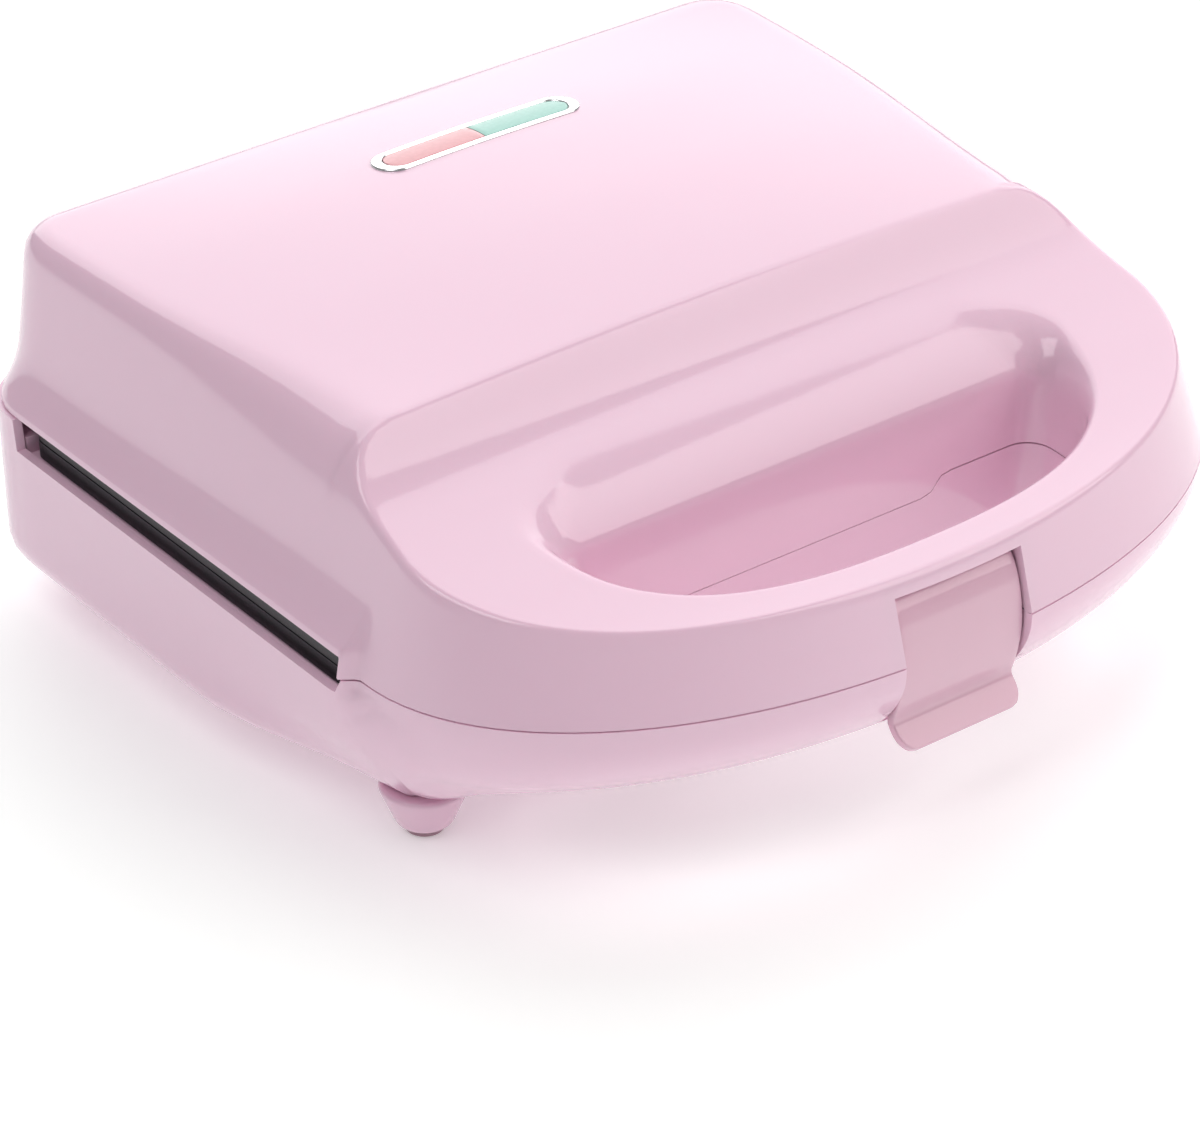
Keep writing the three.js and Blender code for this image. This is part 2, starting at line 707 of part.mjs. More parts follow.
function makeReflector() {
  const near = heaterNearY - heaterRadius - 2;
  const far = heaterFarY + 5;
  const outer = roundedBox([-85, 85], [near, far], panTop - 1, panTop + 8.2, 5);
  const inner = roundedBox([-84, 84], [near + 1, far - 1], panTop, panTop + 10, 4);
  const holes = [-bossX, bossX].map((x) => upright(screwShank + 0.4, [x, plateMidY], 0, 60, 8));
  const slots = [-heaterX, heaterX].map((x) => box([x - 4, x + 4], [far - 2, far + 1],
    [panTop + 1, panTop + 20]));
  return cut(outer, inner, ...holes, ...slots);
}

function screw([x, y], headZ, headHeight, shankTop) {
  const head = upright(screwHead, [x, y], headZ, headZ + headHeight, 10);
  const slot = box([x - 2.2, x + 2.2], [y - 0.4, y + 0.4], [headZ - tiny, headZ + 0.7]);
  return joined(cut(head, slot), upright(screwShank, [x, y], headZ + headHeight - 0.2, shankTop, 8));
}

function makeThermostat() {
  const top = panFloor - gap;
  return joined(
    upright(8, [0, plateMidY], top - 4, top, 16),
    upright(6, [0, plateMidY], top - 7, top - 3.8, 12),
    box([-13, 13], [plateMidY - 1.6, plateMidY + 1.6], [top - 5.6, top - 4.8]),
  );
}

function makePlateScrew(side) {
  return screw([side * bossX, plateMidY], panTop - 1 - gap - 1.8, 1.8, panFloor - 1.6);
}

addPair('element', makeElement, heaterSteel);
addPair('reflector', makeReflector, aluminium);
addPair('thermostat', makeThermostat, ceramicWhite);
for (const [name, side] of [['left', -1], ['right', 1]]) {
  addPair(`element_strap_${name}`, makeStrap, steel, side);
  addPair(`plate_screw_${name}`, makePlateScrew, steel, side);
}

const fuseY = plateMidY + 30;
add('thermal_fuse', joined(
  alongX(2.2, -8, 8, [fuseY, panFloor - gap - 2.2], 10),
  alongX(0.7, -16, 16, [fuseY, panFloor - gap - 2.2], 6),
), steel);

// Fasteners between decks and shells -------------------------------------------------------------

const screwNames = ['front_right', 'front_left', 'rear_right', 'rear_left'];
mirroredPosts((place) => place).forEach((place, i) => {
  add(`base_screw_${screwNames[i]}`, screw(place, screwSeatZ - gap - 2, 2, basePostTop + 11), steel);
  add(`lid_screw_${screwNames[i]}`, screw(place, parting + 0.5, 1.1, lidDeckTop + 8), steel);
});

// Hinge pins and the sleeved lead that crosses the hinge ------------------------------------------

const pinReach = knuckleWidth / 2 + gap + lugWidth;
for (const [name, side] of [['left', -1], ['right', 1]]) {
  const middle = side * hingeX;
  const pin = alongX(hingePin, middle - pinReach, middle + pinReach, [hingeY, hingeZ], 12);
  add(`hinge_pin_${name}`, pin, steel);
}

const leadRadius = 2;
function lead(side, wallZ) {
  return bar([
    [side * 16, rearY + 1.2, wallZ],
    [side * 15.4, rearY + 4.5, wallZ + (hingeZ - wallZ) * 0.25],
    [side * 11.5, hingeY - 1.2, wallZ + (hingeZ - wallZ) * 0.85],
    [side * 6, hingeY, hingeZ],
    [side * gap / 2, hingeY, hingeZ],
  ], leadRadius, 14);
}
add('lead_sleeve_base', lead(1, 38), sleeveFibre);
add('lead_sleeve_lid', lead(-1, 58), sleeveFibre);

// Cord inlet and terminal block --------------------------------------------------------------------

function makeGland() {
  const profile = [
    [glandBore, rearY - 5], [glandBore + 2.2, rearY - 5], [glandBore + 2.2, rearY + gap],
    [glandBore + 4.2, rearY + gap], [glandBore + 3.6, rearY + 3], [glandBore, rearY + 3],
    [glandBore, rearY - 5],
  ];
  const geometry = new THREE.LatheGeometry(profile.map(([r, y]) => new THREE.Vector2(r, y)), 16);
  geometry.translate(glandX, 0, glandZ);
  return solid(geometry);
}
add('cord_gland', makeGland(), black);

function makeTerminalBlock() {
  const body = roundedBox([24, 50], [74, 86], bottomZ + wall + gap, bottomZ + wall + 13, 2);
  const holes = [29, 37, 45].map((x) => upright(2, [x, 80], bottomZ + wall + 8, 60, 8));
  return cut(body, ...holes);
}
add('terminal_block', makeTerminalBlock(), ceramicWhite);

// Indicator: bezel, two lenses, and the lamps in their holder --------------------------------------

const bezelLow = 90;
add('indicator_bezel', cut(bezelHole(0, bezelLow, pillTopZ), bezelHole(-pillBand, 80, 110)), chrome);

function makeLens(side) {
  const body = bezelHole(-pillBand - 0.3, bezelLow + 1, pillTopZ - 0.4);
  const span = [side * 0.15, side * pillX].sort((a, b) => a - b);
  return body.intersect(box(span, [0, 100], [0, 110]));
}
add('red_lens', makeLens(-1), redLensFinish);
add('green_lens', makeLens(1), greenLensFinish);

function makeLampHolder() {
  const outer = roundedBox([-30, 30], [pillAtY - 8, pillAtY + 8], 78, bezelLow - gap, 3);
  const inner = roundedBox([-28.4, 28.4], [pillAtY - 6.4, pillAtY + 6.4], 79.6, 100, 2);
  const rib = box([-0.8, 0.8], [pillAtY - 7, pillAtY + 7], [79, bezelLow - gap - 0.5]);
  return joined(cut(outer, inner), rib);
}
add('lamp_holder', makeLampHolder(), ceramicWhite);
add('red_lamp', alongX(2.6, -22, -6, [pillAtY, 83.5], 12), lampGlass);
add('green_lamp', alongX(2.6, 6, 22, [pillAtY, 83.5], 12), lampGlass);

// Latch ---------------------------------------------------------------------------------------------

function makeLatch() {
  const outline = [
    [-107.7, 59.2], [-110.2, 54.5], [-111.8, 49.5], [-112.3, 44.5], [-111.8, 38],
    [-110.6, 33], [-109.7, 30.2], [-110.4, 27.5], [-112.2, 24.6], [-111.8, 23.6],
    [-110.6, 23.5], [-108.6, 26], [-107.7, 29], [-107.7, 30.2], [-103.2, 30.2],
    [-103.2, 31.4], [-105, 33], [-108.4, 33], [-109.6, 38], [-110, 44.5],
    [-109.4, 50], [-107.6, 54], [-105, 55.2], [-105, 59], [-106.2, 59.3],
  ];
  const body = joined(
    extrudedAlongX(outline, -latchHalf, latchHalf),
    alongX(latchPin + 1.1, -latchHalf, latchHalf, latchPivot, 12),
  );
  return body.subtract(alongX(latchPin + 0.35, -30, 30, latchPivot, 10));
}
add('latch', makeLatch(), latchPink);
add('latch_pin', alongX(latchPin, -latchHalf - 2, latchHalf + 2, latchPivot, 10), steel);

export default group;
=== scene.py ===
import math

import bpy
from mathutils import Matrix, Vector


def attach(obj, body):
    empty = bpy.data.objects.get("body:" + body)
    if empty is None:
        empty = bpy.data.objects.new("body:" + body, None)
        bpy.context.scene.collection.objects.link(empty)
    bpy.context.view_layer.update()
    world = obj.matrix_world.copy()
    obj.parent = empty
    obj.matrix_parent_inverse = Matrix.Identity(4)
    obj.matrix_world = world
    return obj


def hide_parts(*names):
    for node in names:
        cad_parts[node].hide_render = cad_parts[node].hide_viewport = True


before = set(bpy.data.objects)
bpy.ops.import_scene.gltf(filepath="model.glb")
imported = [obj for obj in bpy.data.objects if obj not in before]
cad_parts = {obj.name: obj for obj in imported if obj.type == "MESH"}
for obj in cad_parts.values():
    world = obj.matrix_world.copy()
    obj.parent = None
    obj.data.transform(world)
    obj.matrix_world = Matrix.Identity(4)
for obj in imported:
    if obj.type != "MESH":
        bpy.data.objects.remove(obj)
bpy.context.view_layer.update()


# Base shell. The lower half of the housing: one injection moulding in glossy pastel pink plastic,
# a flat tray with a D-shaped front that rises like a boat's bow round the hand hole, four conical
# feet and the fixed knuckles of the hinge. Everything else is screwed or clipped into it.

MM = 0.001


def smooth(low, high, value):
    t = min(max((value - low) / (high - low), 0.0), 1.0)
    return t * t * (3 - 2 * t)


def between(a, b, t):
    return tuple(p + (q - p) * t for p, q in zip(a, b))


def spaced(points, count):
    """A run of points laid again at even steps along itself."""
    lengths = [math.dist(a, b) for a, b in zip(points, points[1:])]
    total, laid = sum(lengths), [points[0]]
    step, past, i = total / count, 0.0, 0
    for k in range(1, count):
        want = k * step
        while past + lengths[i] < want:
            past += lengths[i]
            i += 1
        laid.append(between(points[i], points[i + 1], (want - past) / lengths[i]))
    return laid + [points[-1]]


def bezier(a, b, c, d, t):
    s = 1 - t
    weights = (s * s * s, 3 * s * s * t, 3 * s * t * t, t * t * t)
    return tuple(sum(w * p[k] for w, p in zip(weights, (a, b, c, d))) for k in range(len(a)))


def curve_value(table, y):
    """Reads a height off a list of (y, z) pairs, joined by a smooth curve."""
    if y <= table[0][0]:
        return table[0][1]
    if y >= table[-1][0]:
        return table[-1][1]
    i = max(k for k, pair in enumerate(table) if pair[0] <= y)
    i = min(i, len(table) - 2)

    def slope(k):
        k = min(max(k, 1), len(table) - 2)
        return (table[k + 1][1] - table[k - 1][1]) / (table[k + 1][0] - table[k - 1][0])

    (y0, z0), (y1, z1) = table[i], table[i + 1]
    wide = y1 - y0
    m0 = slope(i) if 0 < i else (z1 - z0) / wide
    m1 = slope(i + 1) if i + 1 < len(table) - 1 else (z1 - z0) / wide
    t = (y - y0) / wide
    return ((2 * t ** 3 - 3 * t ** 2 + 1) * z0 + (t ** 3 - 2 * t ** 2 + t) * wide * m0
            + (3 * t ** 2 - 2 * t ** 3) * z1 + (t ** 3 - t ** 2) * wide * m1)


def alone(piece):
    bpy.ops.object.select_all(action="DESELECT")
    piece.select_set(True)
    bpy.context.view_layer.objects.active = piece
    return piece


def sheet_of(rows):
    """A grid primitive whose crossings are moved to the given rows of points, in millimetres."""
    bpy.ops.object.select_all(action="DESELECT")
    across, along = len(rows[0]) - 1, len(rows) - 1
    bpy.ops.mesh.primitive_grid_add(x_subdivisions=across, y_subdivisions=along, size=2)
    piece = bpy.context.object
    for vertex in piece.data.vertices:
        column = round((vertex.co.x + 1) / 2 * across)
        row = round((vertex.co.y + 1) / 2 * along)
        vertex.co = Vector(rows[row][column]) * MM
    return piece


def put_together(name, pieces):
    bpy.ops.object.select_all(action="DESELECT")
    for piece in pieces:
        piece.select_set(True)
    bpy.context.view_layer.objects.active = pieces[0]
    if len(pieces) > 1:
        bpy.ops.object.join()
    piece = alone(bpy.context.object)
    bpy.ops.object.transform_apply(location=True, rotation=True, scale=True)
    piece.name = piece.data.name = name
    return piece


def modified(piece, kind, **settings):
    alone(piece)
    modifier = piece.modifiers.new(kind.title(), kind)
    for key, value in settings.items():
        setattr(modifier, key, value)
    bpy.ops.object.modifier_apply(modifier=modifier.name)
    return piece


def in_edit_mode(piece, *steps):
    alone(piece)
    bpy.ops.object.mode_set(mode="EDIT")
    for step in steps:
        step()
    bpy.ops.object.mode_set(mode="OBJECT")
    return piece


def welded():
    bpy.ops.mesh.select_all(action="SELECT")
    bpy.ops.mesh.remove_doubles(threshold=0.00004)
    bpy.ops.mesh.normals_make_consistent(inside=False)


def smoothed(piece, degrees=38):
    alone(piece)
    bpy.ops.object.shade_smooth_by_angle(angle=math.radians(degrees))
    return piece


front_half, side_half, front_tip, arc_start, side_end, rear = 108.9, 113.2, -115.0, -50.9, 79.0, 99.0
front_deep, corner_radius, roundness, front_steps = arc_start - front_tip, 20.0, 2.08, 34


def outline(along_side):
    """Half of the housing's plan, from the middle of its front round to the middle of its rear.

    Each station is (x, y, inward x, inward y, part), and along_side lists the stations' y on the side.
    """
    dense = [(front_half * math.sin(a) ** (2 / roundness),
              arc_start - front_deep * math.cos(a) ** (2 / roundness))
             for a in (k / 240 * math.pi / 2 for k in range(241))]
    stations = []
    for x, y in spaced(dense, front_steps)[:-1]:
        nx = (x / front_half) ** (roundness - 1) / front_half
        ny = ((arc_start - y) / front_deep) ** (roundness - 1) / front_deep
        size = math.hypot(nx, ny)
        stations.append((x, y, -nx / size, ny / size, "front"))
    stations += [(front_half, y, -1.0, 0.0, "side") for y in along_side]
    for k in range(1, 10):
        a = k / 10 * math.pi / 2
        centre = (front_half - corner_radius, side_end)
        stations.append((centre[0] + corner_radius * math.cos(a), centre[1] + corner_radius * math.sin(a),
                         -math.cos(a), -math.sin(a), "corner"))
    stations += [(x, rear, 0.0, -1.0, "rear")
                 for x in [(front_half - corner_radius) * (1 - k / 16) for k in range(17)]]
    return stations


def flare_at(y, reach=0.0):
    return (side_half - front_half) * smooth(-50 - reach, -45.6 + reach * 0.3, y)


hole_half, hole_front, hole_mid, hole_rear, hole_corner = 66.0, -99.0, -66.0, -59.3, 6.5


def hole_outline(grow, front_count, corner_count, rear_count):
    """Half of the hand hole's plan, from the middle of its front round its end to the middle of its rear."""
    half, radius, rear_y = hole_half + grow, hole_corner + grow, hole_rear + grow
    deep, power = hole_mid - hole_front + grow, 2 / 2.4
    arc = [(half * math.sin(a) ** power, hole_mid - deep * math.cos(a) ** power)
           for a in (k / 200 * math.pi / 2 for k in range(201))]
    bend = [(half - radius + radius * math.cos(a), rear_y - radius + radius * math.sin(a))
            for a in (k / 24 * math.pi / 2 for k in range(25))]
    flat = [((half - radius) * (1 - k / rear_count), rear_y) for k in range(rear_count + 1)]
    return spaced(arc, front_count) + spaced([arc[-1]] + bend, corner_count)[1:] + flat[1:]


bow = [(9.0, 50.0), (9.4, 45.0), (10.4, 40.0), (12.3, 33.5), (15.2, 27.0), (18.9, 20.8), (23.0, 15.0),
       (26.1, 10.7), (29.6, 7.0), (33.8, 3.8), (38.0, 1.5), (42.0, 0.2), (46.0, 0.0)]
bottom, sill, seam_top, side_top, rear_top = 9.0, 8.5, 45.7, 43.0, 50.5


def keel_height(x, y):
    """Height of the underside in the front, where every section round the bow is the same curve."""
    reach_in = (1 - math.hypot(x / front_half, max(arc_start - y, 0) / front_deep)) * front_deep
    table = [(inset, z) for z, inset in reversed(bow)]
    return curve_value(table, max(reach_in, 0.0))


def base_rim(y, part):
    if part == "front":
        return seam_top
    if part == "side":
        lowered = side_top + (seam_top - side_top) * (1 - smooth(-47.0, -46.3, y))
        return lowered + (rear_top - side_top) * smooth(76.6, 77.3, y)
    return rear_top


def base_section(x, y, nx, ny, part):
    """Points down the wall at one station and round onto the underside."""
    top = base_rim(y, part)
    radius = sill + (2.5 if part == "rear" else 0.0)
    if part == "front":
        share = 0.42 + 0.58 * ny ** 1.2
    else:
        share = 0.42 * smooth(10.0, arc_start, y)
    points = []
    for k in range(161):
        z = top + (bottom - top) * (1 - (1 - k / 160) ** 1.5)
        sunk = max(0.0, bottom + radius - z)
        by_sill = radius - math.sqrt(max(radius * radius - sunk * sunk, 0.0)) + 0.02 * (top - z)
        inset = by_sill * (1 - share) + curve_value(bow, z) * share
        low_down = smooth(45.0, 36.0, z)
        if part in ("corner", "rear"):
            out = flare_at(0) * nx * nx
        else:
            out = flare_at(y, 20 * low_down) * (smooth(0.9, 1.0, -nx) if part == "front" else 1.0)
        points.append((x + nx * (inset - out), y + ny * (inset - out), z))
        if inset > 12.0 and part == "front":
            break
    return points


base_side = [-49.8, -48.8, -47.9, -47.1, -46.6, -46.2, -45.5, -44.0, -38.0, -30.0, -20.0, -8.0, 4.0, 16.0,
             28.0, 40.0, 50.0, 60.0, 68.0, 73.0, 76.4, 77.4, 79.0]
base_stations = outline(base_side)
base_columns = [spaced(base_section(*station), 22) for station in base_stations]
walls = sheet_of([[column[k] for column in base_columns] for k in range(23)])

tray_front = -38.0
turn = [i for i, s in enumerate(base_stations) if s[1] == tray_front][0]
corner_at = [i for i, s in enumerate(base_stations) if s[4] == "corner"][4]
under_end = [column[-1] for column in base_columns]
left_run = under_end[turn:corner_at + 1]
rear_run = under_end[corner_at:]
columns_over = len(rear_run) - 1


def filled(left, back, right_x, front_line):
    """A grid of points inside four runs: the side, the rear, the centre line and the front."""
    rows = []
    high = len(left) - 1
    wide = len(back) - 1
    for j in range(high + 1):
        row = []
        v = j / high
        mid = (right_x, front_line[-1][1] + (back[-1][1] - front_line[-1][1]) * v)
        for i in range(wide + 1):
            u = i / wide
            x = ((1 - u) * left[j][0] + u * mid[0] + (1 - v) * front_line[i][0] + v * back[i][0]
                 - (1 - u) * (1 - v) * left[0][0] - u * (1 - v) * front_line[-1][0]
                 - (1 - u) * v * left[-1][0] - u * v * back[-1][0])
            y = ((1 - u) * left[j][1] + u * mid[1] + (1 - v) * front_line[i][1] + v * back[i][1]
                 - (1 - u) * (1 - v) * left[0][1] - u * (1 - v) * front_line[-1][1]
                 - (1 - u) * v * left[-1][1] - u * v * back[-1][1])
            row.append((x, y))
        rows.append(row)
    return rows


corner_x = left_run[0][0]
front_line = [(corner_x * (1 - k / columns_over), tray_front, bottom) for k in range(columns_over + 1)]
tray = filled(left_run, rear_run, 0.0, front_line)
tray[0] = [(p[0], p[1]) for p in front_line]
for j, place in enumerate(left_run):
    tray[j][0] = place[:2]
for i, place in enumerate(rear_run):
    tray[-1][i] = place[:2]
floor_under = sheet_of([[(x, y, bottom) for x, y in row] for row in tray])


def jog_drop(x, high, low):
    return high - low * (1 - smooth(35.5, 40.7, x))


outer_run = under_end[:turn + 1] + front_line[1:]
inner_low = hole_outline(1.8, front_steps, turn - front_steps, columns_over)
inner = hole_outline(0.0, front_steps, turn - front_steps, columns_over)
bow_lines = []
for (ox, oy, oz), (lx, ly), (hx, hy) in zip(outer_run, inner_low, inner):
    line = []
    for k in range(13):
        x, y = between((ox, oy), (lx, ly), k / 12)
        settle = oz - keel_height(ox, oy)
        line.append((x, y, keel_height(x, y) + settle * (1 - smooth(0, 1, k / 12))))
    low = line[-1][2]
    for k in range(1, 5):
        line.append(bezier((lx, ly, low), between((lx, ly, low), (hx, hy, low), 0.55),
                           (hx, hy, low + 0.8), (hx, hy, low + 1.8), k / 4))
    back = smooth(-64, -59.3, hy)
    top = seam_top - back * (seam_top - jog_drop(hx, seam_top, 4.2))
    for k in range(1, 8):
        line.append((hx, hy, low + 1.8 + (top - low - 1.8) * k / 7))
    bow_lines.append(line)
bow_sheet = sheet_of([[line[k] for line in bow_lines] for k in range(len(bow_lines[0]))])


def picked(piece, test):
    """Goes into edit mode with the faces selected whose middles, in millimetres, pass a test."""
    alone(piece)
    bpy.ops.object.mode_set(mode="EDIT")
    bpy.ops.mesh.select_mode(type="FACE")
    bpy.ops.mesh.select_all(action="DESELECT")
    bpy.ops.object.mode_set(mode="OBJECT")
    for face in piece.data.polygons:
        face.select = test(face.center / MM)
    bpy.ops.object.mode_set(mode="EDIT")


def opened(piece, planes, near, inside):
    """Cuts a straight-sided opening into a skin, plane by plane."""
    for place, normal in planes:
        picked(piece, near)
        bpy.ops.mesh.bisect(plane_co=Vector(place) * MM, plane_no=normal, threshold=0.000001)
        bpy.ops.object.mode_set(mode="OBJECT")
    picked(piece, inside)
    bpy.ops.mesh.delete(type="FACE")
    bpy.ops.object.mode_set(mode="OBJECT")


base_shell = put_together("base_housing", [walls, floor_under, bow_sheet])
in_edit_mode(base_shell, welded)
modified(base_shell, "MIRROR", use_axis=(True, False, False), use_clip=True, merge_threshold=0.00005)
in_edit_mode(base_shell, welded)
latch_gap, latch_foot, wall_thick = 17.2, 25.0, 0.0022
latch_sides = [((-latch_gap, 0, 0), (1, 0, 0)), ((latch_gap, 0, 0), (1, 0, 0))]
opened(base_shell, latch_sides + [((0, 0, latch_foot), (0, 0, 1))],
       lambda c: abs(c.x) < 30 and c.y < -100.5 and c.z > 20,
       lambda c: abs(c.x) < latch_gap and c.y < -100.5 and c.z > latch_foot)
modified(base_shell, "SOLIDIFY", thickness=wall_thick, offset=-1.0, use_even_offset=True)


def block(x0, x1, y0, y1, z0, z1, round_by=0.0):
    """A box primitive of that reach in millimetres, its edges eased."""
    bpy.ops.object.select_all(action="DESELECT")
    bpy.ops.mesh.primitive_cube_add(size=1)
    piece = bpy.context.object
    piece.scale = ((x1 - x0) * MM, (y1 - y0) * MM, (z1 - z0) * MM)
    piece.location = ((x0 + x1) / 2 * MM, (y0 + y1) / 2 * MM, (z0 + z1) / 2 * MM)
    bpy.ops.object.transform_apply(location=True, rotation=True, scale=True)
    if round_by:
        modified(piece, "BEVEL", width=round_by * MM, segments=3)
    return piece


def barrel(radius, x, y, z, length, axis="X", sides=48, round_by=0.0, tip=None):
    """A turned part centred on a place, its ends eased."""
    bpy.ops.object.select_all(action="DESELECT")
    bpy.ops.mesh.primitive_cone_add(vertices=sides, radius1=radius * MM, depth=length * MM,
                                    radius2=(radius if tip is None else tip) * MM)
    piece = bpy.context.object
    turned = {"X": (0, math.pi / 2, 0), "Y": (math.pi / 2, 0, 0), "Z": (0, 0, 0)}[axis]
    piece.rotation_euler = turned
    piece.location = (x * MM, y * MM, z * MM)
    bpy.ops.object.transform_apply(location=True, rotation=True, scale=True)
    if round_by:
        modified(piece, "BEVEL", width=round_by * MM, segments=4, limit_method="ANGLE",
                 angle_limit=math.radians(50))
    return piece


cheek_in, cheek_out, pocket_front, pocket_rear = latch_gap + 0.03, latch_gap + 2, -113, -100.4
pocket = [block(-cheek_out, -cheek_in, pocket_front, pocket_rear, 33.0, 45.6),
          block(cheek_in, cheek_out, pocket_front, pocket_rear, 33.0, 45.6),
          block(-cheek_out, cheek_out, pocket_rear - 2, pocket_rear, 26.5, 45.6)]
for part in pocket:
    for v in part.data.vertices:
        if v.co.y < -0.110:
            v.co.y = -0.1126 + (0.0456 - v.co.z) * 0.2
base_shell = put_together("base_housing", [base_shell] + pocket)
foot_places = {"front_left": (-90.8, -45.8), "front_right": (90.8, -45.8),
               "rear_left": (-90.8, 80.0), "rear_right": (90.8, 80.0)}
feet = [barrel(6.0, x, y, 6.8, 10.4, "Z", 56, 1.6, 10.2) for x, y in foot_places.values()]
hinge_x, hinge_y, hinge_z, knuckle_radius, web_root = 58.0, 108.2, 47.0, 6.3, 97.5
lugs = []
for side in (-1, 1):
    for end in (-1, 1):
        middle = side * hinge_x + end * 8.9
        lug = barrel(knuckle_radius, middle, hinge_y, hinge_z, 5.0, "X", 48, 0.7)
        web = block(middle - 2.1, middle + 2.1, web_root, hinge_y, 41.0, 46.6, 0.6)
        lugs += [lug, web]
base_shell = put_together("base_housing", [base_shell] + feet + lugs)
smoothed(base_shell)
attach(base_shell, "base")
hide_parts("base_shell")


class Value:
    """One output of a node, with the arithmetic that the finishes use."""

    def __init__(self, tree, socket):
        self.tree, self.socket = tree, socket

    def node(self, kind, settings=None, inputs=None, output=0):
        made = self.tree.nodes.new(kind)
        for key, value in (settings or {}).items():
            if key == "stops":
                ramp = made.color_ramp
                while len(ramp.elements) < len(value):
                    ramp.elements.new(0.5)
                for element, (place, colour) in zip(ramp.elements, value):
                    element.position, element.color = place, colour
            else:
                setattr(made, key, value)
        for key, value in (inputs or {}).items():
            if isinstance(value, Value):
                self.tree.links.new(value.socket, made.inputs[key])
            else:
                made.inputs[key].default_value = value
        return Value(self.tree, made.outputs[output])

    def maths(self, operation, first, second=0.0):
        return self.node("ShaderNodeMath", {"operation": operation}, {0: first, 1: second})

    def __add__(self, other):
        return self.maths("ADD", self, other)

    __radd__ = __add__

    def __sub__(self, other):
        return self.maths("SUBTRACT", self, other)

    def __rsub__(self, other):
        return self.maths("SUBTRACT", other, self)

    def __mul__(self, other):
        return self.maths("MULTIPLY", self, other)

    __rmul__ = __mul__

    def __gt__(self, other):
        return self.maths("GREATER_THAN", self, other)

    def noise(self, scale, detail=2.0, roughness=0.5):
        return self.node("ShaderNodeTexNoise", {}, {"Vector": self, "Scale": scale, "Detail": detail,
                                                    "Roughness": roughness})

    def stretched(self, x, y, z):
        return self.node("ShaderNodeMapping", {}, {"Vector": self, "Scale": (x, y, z)})

    def mixed(self, first, second):
        return self.node("ShaderNodeMix", {"data_type": "RGBA"}, {0: self, 6: first, 7: second}, 2)

    def into(self, shader, socket):
        self.tree.links.new(self.socket, shader.inputs[socket])

    def bump(self, strength, distance):
        return self.node("ShaderNodeBump", {}, {"Height": self, "Strength": strength, "Distance": distance})


def rgb(red, green, blue):
    """A colour given as it looks on a screen, 0 to 255, made linear."""
    parts = [c / 255 for c in (red, green, blue)]
    return tuple(c / 12.92 if c <= 0.04045 else ((c + 0.055) / 1.055) ** 2.4 for c in parts) + (1.0,)


def finish(name, **constants):
    """A new material: its shader with constant settings, and the place on the piece to work from."""
    made = bpy.data.materials.new(name)
    made.use_nodes = True
    shader = made.node_tree.nodes["Principled BSDF"]
    for key, value in constants.items():
        shader.inputs[key.replace("_", " ")].default_value = value
    start = Value(made.node_tree, None).node("ShaderNodeTexCoord", {}, {}, 3)
    return made, shader, start


def wear(piece, material):
    piece.data.materials.clear()
    piece.data.materials.append(material)


def glossy_plastic(name, colour, deeper):
    made, shader, place = finish(name, Metallic=0.0, IOR=1.5, Coat_Weight=0.35, Coat_Roughness=0.06,
                                 Subsurface_Weight=0.12, Subsurface_Scale=0.004)
    shader.inputs["Subsurface Radius"].default_value = (1.0, 0.6, 0.7)
    cloudy = place.noise(9.0, 3.0)
    fine = place.noise(950.0, 2.0)
    speck = place.noise(2600.0, 1.0) > 0.76
    tone = cloudy.mixed(rgb(*colour), rgb(*deeper))
    (speck * 0.25).mixed(tone, rgb(*[c * 0.93 for c in deeper])).into(shader, "Base Color")
    (cloudy * 0.06 + fine * 0.03 + 0.07).into(shader, "Roughness")
    (fine + place.noise(170.0, 2.0) * 2.0).bump(0.05, 0.0002).into(shader, "Normal")
    return made


pink = glossy_plastic("pink_gloss", (244, 206, 226), (241, 201, 222))
wear(base_shell, pink)
for node in ("base_deck", "lid_deck"):
    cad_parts[node].material_slots[0].material = pink


# Lid shell. The upper half of the housing, moulded in the same pink: a crowned roof that ends in a
# crisp crease, a long concave hollow that sweeps down from it into the handle, and a hand hole whose
# rear lip rolls over. The lid is turned up on two knuckles at the rear.

crease_radius = 1.9
lid_seam, rear_seam, seam_level, eaves, rear_lean = 46.1, 50.9, 45.9, 88.2, 0.05
hollow = [(-120.0, 64.2), (-109.0, 64.3), (-103.0, 64.5), (-96.6, 64.9), (-91.0, 65.5), (-85.0, 66.4),
          (-77.5, 67.7), (-71.0, 69.1), (-61.0, 71.3), (-51.2, 73.9), (-45.9, 75.5), (-41.5, 76.9),
          (-38.5, 78.15), (-35.8, 79.6), (-33.4, 81.3), (-31.2, 83.2), (-29.2, 85.2), (-27.2, 87.2),
          (-25.0, 89.3), (-22.0, 92.0)]
crown = [(-40.0, 86.4), (-25.0, 89.3), (-10.0, 92.1), (0.0, 93.5), (10.0, 94.6), (20.0, 95.3), (40.0, 95.5),
         (57.0, 94.7), (75.0, 92.3), (90.0, 89.6), (100.0, 87.5)]


def hollow_height(y):
    return curve_value(hollow, y)


def wall_slope(y, part):
    side = 0.32 - 0.14 * smooth(-40, 84, y)
    return {"front": 0.31, "side": side, "rear": rear_lean}.get(part, side)


def roof_side(y):
    return front_half - wall_slope(y, "side") * (eaves - seam_level)


def roof_height(x, y):
    level = eaves + 0.2 * smooth(-20, 20, y)
    return level + (curve_value(crown, y) - level) * (1 - (abs(x) / roof_side(y)) ** 2)


